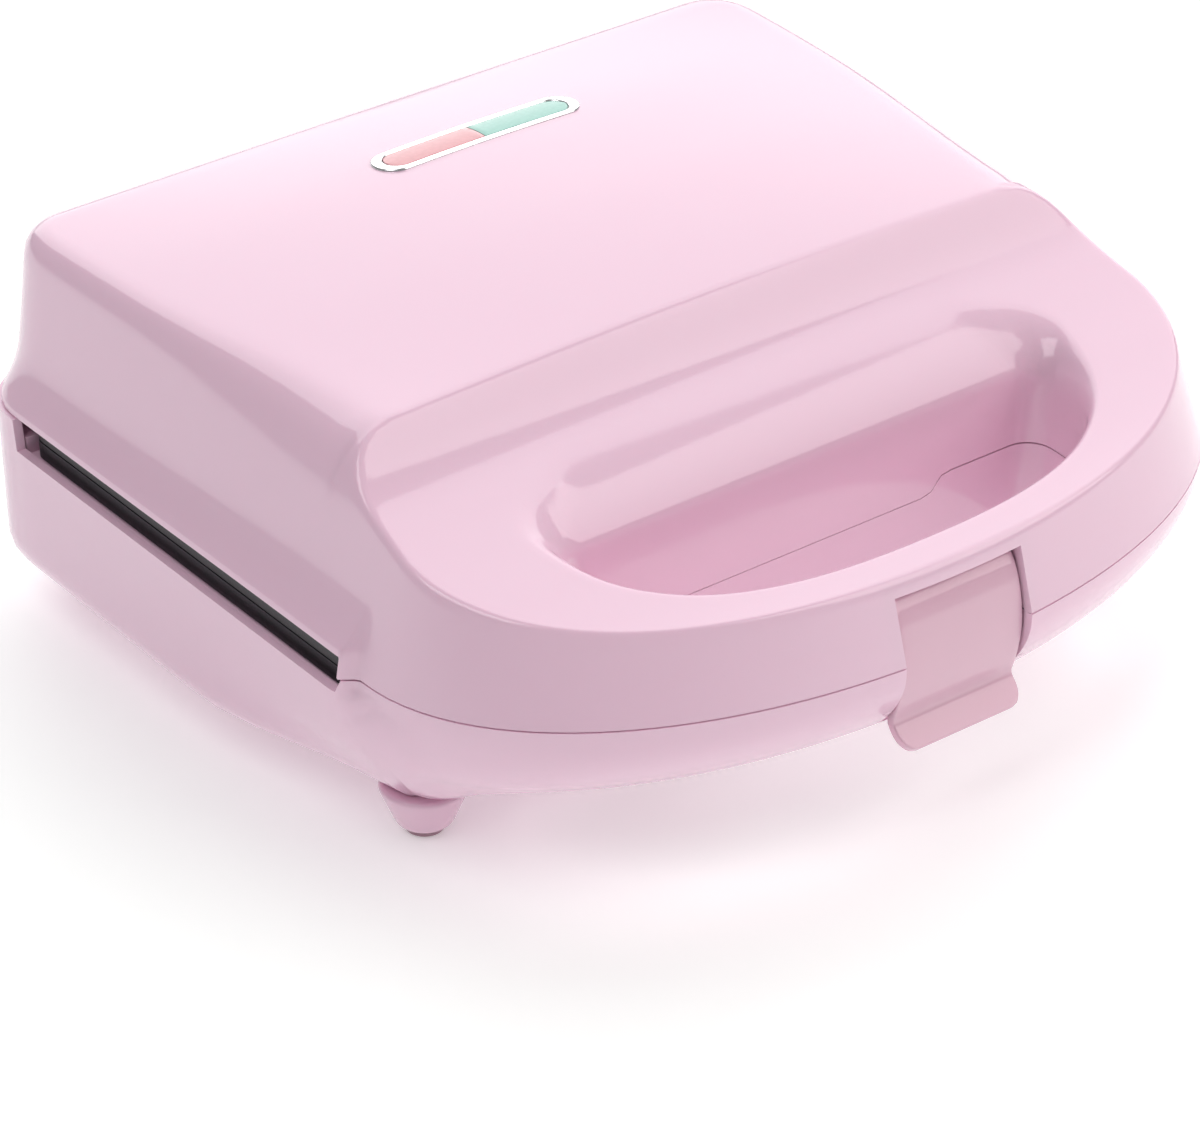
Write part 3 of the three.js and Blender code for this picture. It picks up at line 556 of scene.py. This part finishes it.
def lid_section(x, y, nx, ny, part):
    """Points up the wall at one station: lip, flare, wall, and the rounding into the roof."""
    low = lid_seam + (rear_seam - lid_seam) * smooth(-46.6, -46.0, y) if part == "side" else (
        lid_seam if part == "front" else rear_seam)
    lean = wall_slope(y, part)
    flare, tangent = 0.0, 4.0
    if part == "side":
        flare = flare_at(y)
        tangent = 11.5 - 6.5 * smooth(-25, 50, y)
    if part == "corner":
        share = nx * nx
        lean = wall_slope(side_end, "side") * share + rear_lean * (1 - share)
        flare = flare_at(0) * share ** 1.5
        tangent = 5.0 * share + 7.0 * (1 - share)
    if part == "rear":
        tangent = 7.0

    def at(z):
        up = min(max((z - rear_seam - 1.5) / 9.5, 0.0), 1.0)
        inset = lean * (z - seam_level) - flare * (1 - up) ** 2
        return (x + nx * inset, y + ny * inset, z)

    if part == "front" or (part == "side" and y < -46.05):
        return low, at, None
    high = 88.0
    for _ in range(30):
        px, py, _z = at(high)
        high = roof_height(px, py)
    knee = at(high)
    end = (knee[0] + nx * tangent, knee[1] + ny * tangent)
    end = (end[0], end[1], roof_height(*end))
    begin = at(high - tangent * 1.05)
    rounding = [bezier(begin, between(begin, knee, 0.62), between(end, knee, 0.62), end, k / 40)
                for k in range(41)]
    return low, at, rounding


lid_side = [-49.8, -48.8, -47.9, -47.1, -46.7, -46.5, -46.3, -46.1, -45.9, -45.4, -44.0, -42.0, -39.5, -37.0,
            -34.5, -32.0, -30.0, -28.2, -26.8, -24.2, -20.0, -14.0, -7.0, 0.0, 8.0, 16.0, 24.0, 32.0, 40.0,
            48.0, 56.0, 63.0, 69.0, 74.0, 79.0]
lid_stations = outline(lid_side)
roof_start = -24.2
lid_turn = [i for i, s in enumerate(lid_stations) if s[1] == roof_start][0]
lid_corner = [i for i, s in enumerate(lid_stations) if s[4] == "corner"][4]

wall_rows, creases = [], []
for index, station in enumerate(lid_stations):
    low, at, rounding = lid_section(*station)
    full = [at(low + (93 - low) * k / 160) for k in range(161)]
    if rounding:
        full = [p for p in full if p[2] < rounding[0][2]] + rounding
    crease = None
    if index < lid_turn:
        kept = []
        for a, b in zip(full, full[1:]):
            kept.append(a)
            over_a, over_b = a[2] - hollow_height(a[1]), b[2] - hollow_height(b[1])
            if over_a <= 0 < over_b:
                crease = between(a, b, over_a / (over_a - over_b))
                break
        kept.append(crease)
        full = kept
        back = crease_radius
        while math.dist(full[-2], crease) < back:
            full.pop(-2)
        full[-1] = between(crease, full[-2], back / math.dist(full[-2], crease))
    creases.append(crease)
    rest = [at(low + 1.5)] + [p for p in full if p[2] > low + 1.6]
    wall_rows.append([at(low), at(low + 1.0)] + spaced(rest, 20))
lid_walls = sheet_of([[column[k] for column in wall_rows] for k in range(22 + 1)])

side_run = [column[-1] for column in wall_rows[lid_turn:lid_corner + 1]]
back_run = [column[-1] for column in wall_rows[lid_corner:]]
over = len(back_run) - 1
corner_place = side_run[0]
roof_front, roof_crease = [], []
for k in range(over + 1):
    x = corner_place[0] * (1 - k / over)
    y = -25.0
    for _ in range(40):
        y += (roof_height(x, y) - hollow_height(y)) * 0.583
        y = max(min(y, -22.5), -30.0)
    roof_crease.append((x, y, hollow_height(y)))
    ay = y + crease_radius * 0.8
    roof_front.append((x, ay, roof_height(x, ay)))
shift = corner_place[1] - roof_front[0][1]
roof_front = [(x, y + shift * (1 - k / over) ** 3, 0) for k, (x, y, z) in enumerate(roof_front)]
roof_front = [(x, y, roof_height(x, y)) for x, y, z in roof_front]
roof_plan = filled(side_run, back_run, 0.0, roof_front)
roof = [[(x, y, roof_height(x, y)) for x, y in row] for row in roof_plan]
roof[0] = list(roof_front)
for j, place in enumerate(side_run):
    roof[j][0] = place
roof[-1] = list(back_run)
roof[0][0] = side_run[0]
lid_roof = sheet_of(roof)

edge_outer = [column[-1] for column in wall_rows[:lid_turn]] + [corner_place] + roof_front[1:]
edge_crease = creases[:lid_turn] + roof_crease
rim_low = hole_outline(0.0, front_steps, lid_turn - front_steps, over)
rim_front = hole_outline(2.0, front_steps, lid_turn - front_steps, over)
roll_end, roll_half, roll_rear = 74.3, 52.0, -41.2
end_bend = spaced([(roll_end, -60.5), (74.0, -56.7), (72.7, -53.0), (69.5, -49.3), (64.5, -45.6),
                   (57.4, -42.7), (roll_half, -41.4)], lid_turn - front_steps)
rim_high = []
for k, (x, y) in enumerate(rim_front):
    if k <= front_steps:
        widen = smooth(-88, -61, y)
        rim_high.append((x + (roll_end - hole_half - 2) * widen, y + 5.5 * widen * smooth(-90, -60, y)))
    elif k <= lid_turn:
        rim_high.append(end_bend[k - front_steps])
    else:
        rim_high.append((roll_half * (1 - (k - lid_turn) / over), roll_rear))
rim_high = [rim_high[0]] + [tuple((rim_high[k - 1][c] + 2 * rim_high[k][c] + rim_high[k + 1][c]) / 4
                                  for c in range(2)) for k in range(1, len(rim_high) - 1)] + [rim_high[-1]]

handle = []
for k, (outer_point, crease, high, low_place) in enumerate(zip(edge_outer, edge_crease, rim_high, rim_low)):
    reach = math.dist(crease[:2], high)
    start = between(crease[:2], high, crease_radius / reach)
    landing = (start[0], start[1], hollow_height(start[1]))
    line = [bezier(outer_point, between(outer_point, crease, 0.75), between(landing, crease, 0.75),
                   landing, t / 5) for t in range(6)]
    for t in range(1, 19):
        x, y = between(start, high, (t / 18) ** 1.15)
        line.append((x, y, hollow_height(y)))
    back = smooth(-90, -58, low_place[1])
    deep = 2.0 + 12.5 * back
    top = hollow_height(high[1])
    slope = (hollow_height(high[1] + 0.5) - hollow_height(high[1] - 0.5))
    knee = (low_place[0], low_place[1], top + slope * (low_place[1] - high[1]))
    foot = (low_place[0], low_place[1], top - deep)
    begin = (high[0], high[1], top)
    for t in range(1, 13):
        line.append(bezier(begin, between(begin, knee, 0.55), between(foot, knee, 0.5), foot, t / 12))
    at_rear = smooth(-64, -59.3, low_place[1])
    edge = lid_seam - at_rear * (lid_seam - jog_drop(low_place[0], lid_seam, 4.4))
    for t in range(1, 9):
        line.append((low_place[0], low_place[1], foot[2] + (edge - foot[2]) * t / 8))
    handle.append(line)
lid_handle = sheet_of([[line[t] for line in handle] for t in range(len(handle[0]))])

lid_shell = put_together("lid_housing", [lid_walls, lid_roof, lid_handle])
in_edit_mode(lid_shell, welded)
modified(lid_shell, "MIRROR", use_axis=(True, False, False), use_clip=True, merge_threshold=0.00005)
in_edit_mode(lid_shell, welded)

latch_top = 60.6
opened(lid_shell, latch_sides + [((0, 0, latch_top), (0, 0, 1))],
       lambda c: abs(c.x) < 30 and c.y < -103 and c.z < 64,
       lambda c: abs(c.x) < latch_gap and c.y < -103 and c.z < latch_top)
lamp_half, lamp_front, lamp_rear = 25, 53.2, 61.8
opened(lid_shell, [((-lamp_half, 0, 0), (1, 0, 0)), ((lamp_half, 0, 0), (1, 0, 0)),
                   ((0, lamp_front, 0), (0, 1, 0)), ((0, lamp_rear, 0), (0, 1, 0))],
       lambda c: abs(c.x) < 40 and 40 < c.y < 76 and c.z > 80,
       lambda c: abs(c.x) < lamp_half and lamp_front < c.y < lamp_rear and c.z > 80)
modified(lid_shell, "SOLIDIFY", thickness=wall_thick, offset=-1.0, use_even_offset=True)
recess_low, recess_top = 46.15, 62.2
recess = [block(-cheek_out, -cheek_in, pocket_front, pocket_rear, recess_low, recess_top),
          block(cheek_in, cheek_out, pocket_front, pocket_rear, recess_low, recess_top),
          block(-cheek_out, cheek_out, pocket_front, pocket_rear, latch_top + 0.03, recess_top),
          block(-cheek_out, cheek_out, pocket_rear - 2, pocket_rear, recess_low, recess_top)]
for part in recess[:3]:
    for v in part.data.vertices:
        if v.co.y < -0.110:
            v.co.y = -0.1134 + (v.co.z - 0.0461) * 0.31
lid_shell = put_together("lid_housing", [lid_shell] + recess)
knuckles = []
for side in (-1, 1):
    middle = side * hinge_x
    knuckles.append(barrel(knuckle_radius, middle, hinge_y, hinge_z, 12.0, "X", 48, 0.7))
    knuckles.append(block(middle - 5.6, middle + 5.6, web_root, hinge_y, 47.6, 53.3, 0.6))
lid_shell = put_together("lid_housing", [lid_shell] + knuckles)
smoothed(lid_shell)
wear(lid_shell, pink)
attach(lid_shell, "lid")
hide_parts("lid_shell")


# Latch. A curved plate in a slightly deeper pink plastic that swings on a steel pin in the lid and
# hooks under a ledge in the base; its lower edge turns out as a lip for a fingertip.

latch_run = [(-105.4, 59.3), (-106.8, 59.2), (-108.0, 58.3), (-109.2, 56.6), (-110.3, 54.2), (-111.2, 51.4),
             (-111.9, 48.2), (-112.25, 45.0), (-112.3, 42.0), (-112.0, 38.8), (-111.4, 35.6), (-110.6, 32.6),
             (-109.9, 30.3), (-109.95, 29.5), (-110.4, 28.8), (-110.9, 28.25)]
lip_end = (-114.5, 24.5)
latch_run += [between(latch_run[-1], lip_end, k / 9) for k in range(1, 10)]
latch_half, lip_round = 16.5, 3.6
latch_rows = []
for y, z in latch_run:
    above = max(lip_round - (z - lip_end[1]), 0.0)
    reach = latch_half - (lip_round - math.sqrt(max(lip_round ** 2 - above ** 2, 0.0)))
    latch_rows.append([(reach * (k / 12 - 1), y, z) for k in range(25)])
latch = sheet_of(latch_rows)
in_edit_mode(latch, welded)
modified(latch, "SOLIDIFY", thickness=0.0021, offset=-1.0, use_even_offset=True)
modified(latch, "BEVEL", width=0.00055, segments=3, limit_method="ANGLE", angle_limit=math.radians(50))
latch = put_together("latch_plate", [latch, barrel(2.1, 0, -105, 57, 33, "X", 40, 0.3),
                                     block(-16, 16, -109.0, -103.2, 30.2, 31.6, 0.4)])
smoothed(latch)
wear(latch, glossy_plastic("latch_gloss", (232, 190, 208), (226, 183, 202)))
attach(latch, "latch")
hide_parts("latch")


# Indicator. A chromed ring like a long pill set in the roof, with a red and a green lens side by
# side in it. The lenses are clear tinted plastic over a white lamp holder; all snap in from below.

pill_y, ring_out, ring_in, ring_reach, lens_reach = 57.5, 5.75, 3.85, 22.4, 21.2


def pill(radius, reach, lift):
    run = []
    for k in range(97):
        a = 2 * math.pi * k / 96
        x = radius * math.cos(a) + math.copysign(reach, math.cos(a)) * min(1.0, abs(math.cos(a)) * 9)
        y = pill_y + radius * math.sin(a)
        run.append((x, y, roof_height(x, y) + lift))
    return run


ring_reaches = [(ring_out, ring_reach, -1.6), (5.6, ring_reach, 0.12), (5.5, ring_reach, 0.42),
                (5.2, ring_reach, 0.56), (4.8, 22.1, 0.62), (4.3, 21.6, 0.58), (4.0, lens_reach + 0.1, 0.44),
                (ring_in, lens_reach, 0.1), (ring_in, lens_reach, -2.4), (5.0, 21.8, -2.4),
                (ring_out, ring_reach, -1.6)]
ring = sheet_of([pill(*reach) for reach in ring_reaches])
ring = put_together("indicator_ring", [ring])
in_edit_mode(ring, welded)
smoothed(ring, 50)
chrome, chrome_shader, place = finish("bright_chrome", Metallic=1.0, Coat_Weight=0.3)
blotch = place.noise(140.0, 3.0)
blotch.mixed(rgb(252, 252, 253), rgb(240, 240, 243)).into(chrome_shader, "Base Color")
(blotch * 0.12 + 0.16).into(chrome_shader, "Roughness")
place.noise(2200.0).bump(0.04, 0.0001).into(chrome_shader, "Normal")
wear(ring, chrome)
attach(ring, "lid")
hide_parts("indicator_bezel")

# Each lens gets a pale tint and a deep tint; the deep tint is used only as painted shade along the lens's
# front edge.
for side, name, node, slot, colour, deep in (
        (-1, "lens_left", "red_lens", "red_lens", (240, 163, 170), (206, 62, 76)),
        (1, "lens_right", "green_lens", "green_lens", (150, 214, 200), (60, 128, 112))):
    rows = []
    radius = ring_in - 0.12
    for j in range(13):
        row = []
        for k in range(25):
            x = (0.12 + (lens_reach + radius - 0.12) * math.sin(k / 24 * math.pi / 2)) * side
            past = max(abs(x) - lens_reach, 0.0)
            half = math.sqrt(max(radius * radius - past * past, 0.0))
            y = pill_y + half * (j / 6 - 1)
            bow_up = 0.16 * (1 - (j / 6 - 1) ** 2)
            row.append((x, y, roof_height(x, y) + 0.22 + bow_up))
        rows.append(row)
    lens = put_together(name, [sheet_of(rows)])
    in_edit_mode(lens, welded)
    modified(lens, "SOLIDIFY", thickness=wall_thick, offset=-1.0)
    modified(lens, "BEVEL", width=0.0002, segments=2, limit_method="ANGLE", angle_limit=math.radians(50))
    smoothed(lens)
    tint, tint_shader, place = finish(name + "_tint", Coat_Weight=0.6, Coat_Roughness=0.04, IOR=1.49,
                                      Transmission_Weight=0.12)
    # Painted shade: along each lens's front edge, towards -y, a band about 0.4 mm wide is mixed to the deep
    # tint, a dark line standing in for the shade where the lens meets the chrome ring.
    away = place.node("ShaderNodeSeparateXYZ", {}, {"Vector": place}, 1)
    edge = (away - (pill_y - 3.35) * MM) * -2600.0
    edge = edge.node("ShaderNodeClamp", {}, {"Value": edge, "Min": 0.0, "Max": 1.0})
    prisms = place.node("ShaderNodeTexVoronoi", {"feature": "F1"}, {"Vector": place, "Scale": 900.0})
    glow = (prisms * 0.6).mixed(rgb(*colour), rgb(*[c * 0.94 for c in colour]))
    edge.mixed(glow, rgb(*deep)).into(tint_shader, "Base Color")
    (prisms * 0.1 + 0.12).into(tint_shader, "Roughness")
    prisms.bump(0.12, 0.0002).into(tint_shader, "Normal")
    wear(lens, tint)
    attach(lens, "lid")
    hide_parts(node)


# Grid plates. Two aluminium castings with two pockets each and rows of raised studs, coated dark grey
# with a slightly grainy non-stick finish. Their rims meet with a thin slit that shows at both sides.

coated, coated_shader, place = finish("non_stick_coat", Metallic=0.25, Coat_Weight=0.25, Coat_Roughness=0.3)
grain, sparkle = place.noise(1500.0, 3.0), place.noise(5200.0, 1.0) > 0.7
cloud = place.noise(30.0, 4.0)
body = cloud.mixed(rgb(46, 48, 51), rgb(58, 60, 63))
(sparkle * 0.5).mixed(body, rgb(92, 94, 98)).into(coated_shader, "Base Color")
(grain * 0.25 + cloud * 0.1 + 0.26).into(coated_shader, "Roughness")
(grain + place.noise(300.0, 2.0)).bump(0.22, 0.0002).into(coated_shader, "Normal")
for node in ("lower_plate", "upper_plate"):
    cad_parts[node].material_slots[0].material = coated


# Metalwork inside the halves. Sheet aluminium reflectors, sheathed heating elements, plated straps,
# thermostats, screws and pins, each left as it is made and finished by rolling, drawing or plating.


def metal(name, light, dark, low, high, along, grain_bump):
    made, shader, place = finish(name, Metallic=1.0)
    drawn = place.stretched(*along).noise(1.0, 4.0, 0.65)
    soil = place.noise(60.0, 4.0)
    soil.mixed(rgb(*light), rgb(*dark)).into(shader, "Base Color")
    (drawn * (high - low) + soil * 0.08 + low).into(shader, "Roughness")
    drawn.bump(grain_bump, 0.0001).into(shader, "Normal")
    return made


rolled = metal("rolled_aluminium", (206, 208, 210), (184, 186, 189), 0.28, 0.5, (60, 1800, 900), 0.2)
sheathed = metal("heater_sheath", (128, 122, 116), (92, 84, 78), 0.42, 0.62, (900, 900, 900), 0.25)
plated = metal("zinc_plate", (196, 198, 202), (160, 163, 168), 0.22, 0.42, (1400, 1400, 500), 0.12)
for node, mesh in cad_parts.items():
    if "reflector" in node:
        mesh.material_slots[0].material = rolled
    elif node.endswith("_element"):
        mesh.material_slots[0].material = sheathed
    elif "screw" in node or "pin" in node or "strap" in node or "thermostat" in node:
        mesh.material_slots[0].material = plated


# Lamps and connections. White glazed ceramic blocks and fuse, two small glass lamps, woven glass
# sleeves on the leads that cross the hinge, and the black gland in the rear wall for a mains lead.

ceramic, ceramic_shader, place = finish("glazed_ceramic", Coat_Weight=0.5, Coat_Roughness=0.12)
fleck = place.noise(900.0, 2.0) > 0.68
(fleck * 0.3).mixed(rgb(236, 232, 224), rgb(206, 198, 186)).into(ceramic_shader, "Base Color")
(place.noise(80.0, 3.0) * 0.2 + 0.28).into(ceramic_shader, "Roughness")
place.noise(400.0, 3.0).bump(0.1, 0.0002).into(ceramic_shader, "Normal")

glass, glass_shader, place = finish("lamp_glass", Transmission_Weight=0.6, IOR=1.5)
place.noise(200.0).mixed(rgb(246, 240, 230), rgb(236, 226, 210)).into(glass_shader, "Base Color")
(place.noise(500.0) * 0.1 + 0.04).into(glass_shader, "Roughness")

woven, woven_shader, place = finish("woven_sleeve", Sheen_Weight=0.3)
across = place.stretched(-1, 1, 1)
threads, crossing = [way.node("ShaderNodeTexWave", {"bands_direction": "DIAGONAL"},
                              {"Vector": way, "Scale": 260.0}) for way in (place, across)]
cloth = threads * crossing
cloth.mixed(rgb(196, 190, 178), rgb(232, 227, 216)).into(woven_shader, "Base Color")
(cloth * -0.15 + 0.92).into(woven_shader, "Roughness")
cloth.bump(0.6, 0.0004).into(woven_shader, "Normal")

dark, dark_shader, place = finish("black_nylon")
pebble = place.node("ShaderNodeTexVoronoi", {"feature": "F1"}, {"Vector": place, "Scale": 700.0})
pebble.mixed(rgb(34, 34, 36), rgb(24, 24, 26)).into(dark_shader, "Base Color")
(pebble * 0.2 + 0.4).into(dark_shader, "Roughness")
pebble.bump(0.25, 0.0002).into(dark_shader, "Normal")

for node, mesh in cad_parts.items():
    if node in ("lamp_holder", "terminal_block", "thermal_fuse"):
        mesh.material_slots[0].material = ceramic
    elif node.endswith("_lamp"):
        mesh.material_slots[0].material = glass
    elif "sleeve" in node:
        mesh.material_slots[0].material = woven
    elif node == "cord_gland":
        mesh.material_slots[0].material = dark


# Foot pads. Four soft discs of greyish pink rubber pressed into the feet, each with a rounded edge
# and a shallow dimple underneath.

rubber, rubber_shader, place = finish("soft_rubber", Sheen_Weight=0.2)
dust = place.noise(700.0, 4.0)
dust.mixed(rgb(186, 152, 164), rgb(168, 136, 148)).into(rubber_shader, "Base Color")
(dust * 0.15 + 0.72).into(rubber_shader, "Roughness")
dust.bump(0.35, 0.0002).into(rubber_shader, "Normal")
for corner, (x, y) in foot_places.items():
    pad = barrel(4.4, x, y, 1.1, 2.2, "Z", 48, 0.6)
    picked(pad, lambda c: c.z < 0.05)
    bpy.ops.mesh.inset(thickness=0.0016)
    bpy.ops.transform.translate(value=(0, 0, 0.0005))
    bpy.ops.object.mode_set(mode="OBJECT")
    pad.name = pad.data.name = "pad_" + corner
    smoothed(pad)
    wear(pad, rubber)
    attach(pad, "base")
    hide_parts("foot_pad_" + corner)


# The studio: a pale plain floor, a broad soft light behind and over the roof, two smaller ones high at
# the front right and the left, and the camera at the front left.

bpy.ops.object.select_all(action="DESELECT")
bpy.ops.mesh.primitive_plane_add(size=40, location=(0, 0, 0))
ground = bpy.context.object
ground.name = "floor"
floor_paint, floor_shader, floor_place = finish("studio_floor", Roughness=0.55, Emission_Strength=0.25)
floor_shader.inputs["Emission Color"].default_value = (1.0, 1.0, 1.0, 1.0)
floor_place.noise(3.0).mixed(rgb(247, 251, 249), rgb(245, 249, 247)).into(floor_shader, "Base Color")
wear(ground, floor_paint)

world = bpy.data.worlds.new("studio")
bpy.context.scene.world = world
world.use_nodes = True
world.node_tree.nodes["Background"].inputs["Color"].default_value = (1.0, 1.0, 1.0, 1.0)
world.node_tree.nodes["Background"].inputs["Strength"].default_value = 0.19


def softbox(name, place, aim, wide, high, power, colour=(1, 1, 1)):
    light = bpy.data.lights.new(name, "AREA")
    light.shape, light.size, light.size_y, light.energy, light.color = "RECTANGLE", wide, high, power, colour
    lamp = bpy.data.objects.new(name, light)
    bpy.context.scene.collection.objects.link(lamp)
    lamp.location = place
    lamp.rotation_euler = (Vector(aim) - Vector(place)).to_track_quat("-Z", "Y").to_euler()
    return lamp


softbox("light_over", (0.95, 1.25, 1.25), (0, 0, 0.05), 3.2, 2.6, 42)
softbox("light_front", (0.95, -1.0, 1.1), (0, -0.03, 0.05), 1.5, 1.3, 13, (1.0, 0.965, 0.93))
softbox("light_left", (-0.9, -0.2, 1.5), (0, 0, 0.05), 1.0, 1.0, 8)

camera_data = bpy.data.cameras.new("camera")
camera_data.lens, camera_data.sensor_width, camera_data.sensor_fit = 148.18, 36.0, "HORIZONTAL"
camera_data.clip_start, camera_data.clip_end = 0.05, 60.0
camera = bpy.data.objects.new("camera", camera_data)
bpy.context.scene.collection.objects.link(camera)
target = Vector((-5.97, 3.87, 9.75)) * MM
azimuth, elevation, away = math.radians(-37.49), math.radians(31.79), 1.11869
back_way = Vector((math.sin(azimuth) * math.cos(elevation), -math.cos(azimuth) * math.cos(elevation),
                   math.sin(elevation)))
camera.location = target + back_way * away
camera.rotation_euler = (-back_way).to_track_quat("-Z", "Y").to_euler()
bpy.context.scene.camera = camera
bpy.context.scene.view_settings.view_transform = "Standard"
